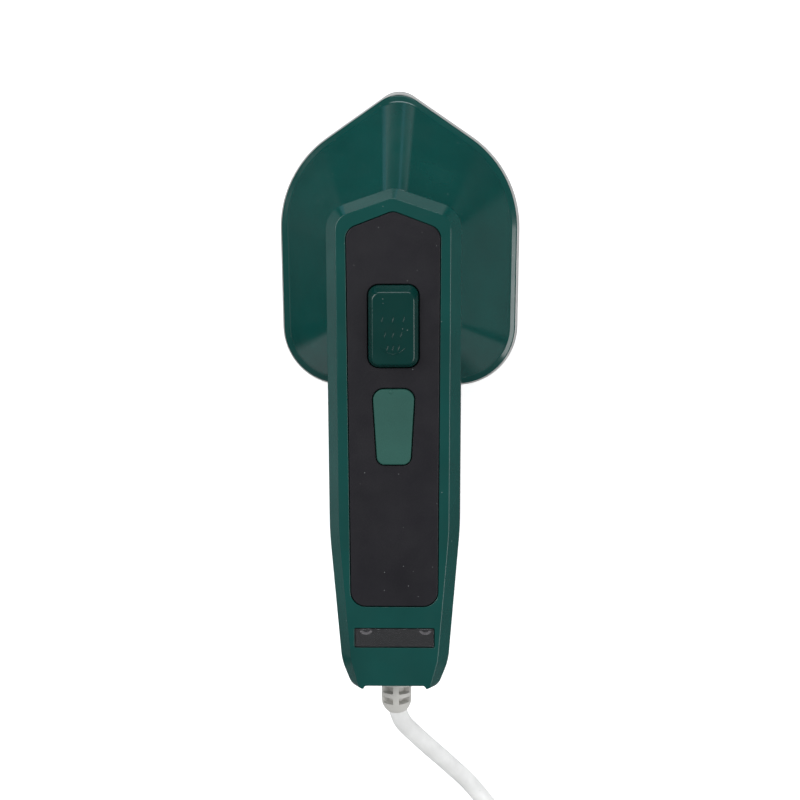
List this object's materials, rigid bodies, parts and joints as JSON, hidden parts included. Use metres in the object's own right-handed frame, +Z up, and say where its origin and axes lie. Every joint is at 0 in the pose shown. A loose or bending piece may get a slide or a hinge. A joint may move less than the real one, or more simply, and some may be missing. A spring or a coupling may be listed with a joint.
{
  "type": "garment steamer",
  "caption": "Hand-held garment steamer lying on its soleplate: faceted head, bar handle with inset grip panel, raised steam button, on/off button, indicator window and coiled mains cord.",
  "frame": {"origin": "centre of the soleplate's lower face, which lies on the surface at z = 0", "axes": "+Y towards the tip of the soleplate, +X to the right seen from above, +Z up through the handle"},
  "size_m": [0.1284, 0.3601, 0.0663],
  "materials": {
    "green_gloss": "polished moulding",
    "green_matte": "fine matte moulding",
    "black_satin": "satin",
    "smoked_clear": "smoked transparent plastic",
    "sole_metal": "coated, fine brushed",
    "steel": "plain steel",
    "phenolic": "dark heat-resistant moulding",
    "silicone": "translucent silicone",
    "dark_silicone": "soft silicone",
    "white_plastic": "plain moulding",
    "tank_clear": "clear moulding",
    "board": "coated circuit board",
    "led": "diffused",
    "wire": "silicone sleeve",
    "relief_grey": "moulded soft PVC",
    "cord_white": "smooth PVC sheath",
    "tie_black": "nylon",
    "pin_metal": "nickel plated"
  },
  "bodies": {
    "housing": {"soleplate": "sole_metal", "heating_element": "steel", "chamber_gasket": "silicone", "chamber_cover": "steel", "cover_screws": "steel", "thermostat": "phenolic", "thermal_fuse": "steel", "heat_shield": "phenolic", "sole_screws": "steel", "shell_screws": "steel", "head_shell": "green_gloss", "handle_lower_shell": "green_gloss", "handle_upper_shell": "green_gloss", "handle_screws": "steel", "grip_panel": "black_satin", "pump_spring": "steel", "pump_body": "white_plastic", "duckbill_valves": "silicone", "delivery_tube": "silicone", "suction_tube": "silicone", "water_tank": "tank_clear", "tact_switch": "steel", "circuit_board": "board", "led_left": "led", "led_right": "led", "indicator_window": "smoked_clear", "element_leads": "wire", "terminal_block": "white_plastic", "inner_cord": "cord_white", "cord_clamp": "phenolic", "clamp_screws": "steel", "strain_relief": "relief_grey", "cord_lead": "cord_white", "cord_coil": "cord_white", "cord_tail": "cord_white", "cord_tie": "tie_black", "plug_body": "white_plastic", "plug_pins": "pin_metal"},
    "steam_button": {"steam_button": "green_gloss", "pump_plunger": "white_plastic"},
    "power_button": {"power_button": "green_matte", "switch_plunger": "phenolic"},
    "filler_plug": {"filler_plug": "dark_silicone"}
  },
  "joints": [
    {"name": "steam_press", "type": "slide", "parent": "housing", "child": "steam_button", "axis": [0, 0, -1], "range_m": [0, 0.0035], "stiffness_N_per_m": 300, "springref_m": -0.003, "deforming": ["pump_spring"]},
    {"name": "power_press", "type": "slide", "parent": "housing", "child": "power_button", "axis": [0, 0, -1], "range_m": [0, 0.0008], "stiffness_N_per_m": 600, "springref_m": -0.001},
    {"name": "filler_pull", "type": "slide", "parent": "housing", "child": "filler_plug", "axis": [0, 0, -1], "range_m": [0, 0.016]}
  ]
}
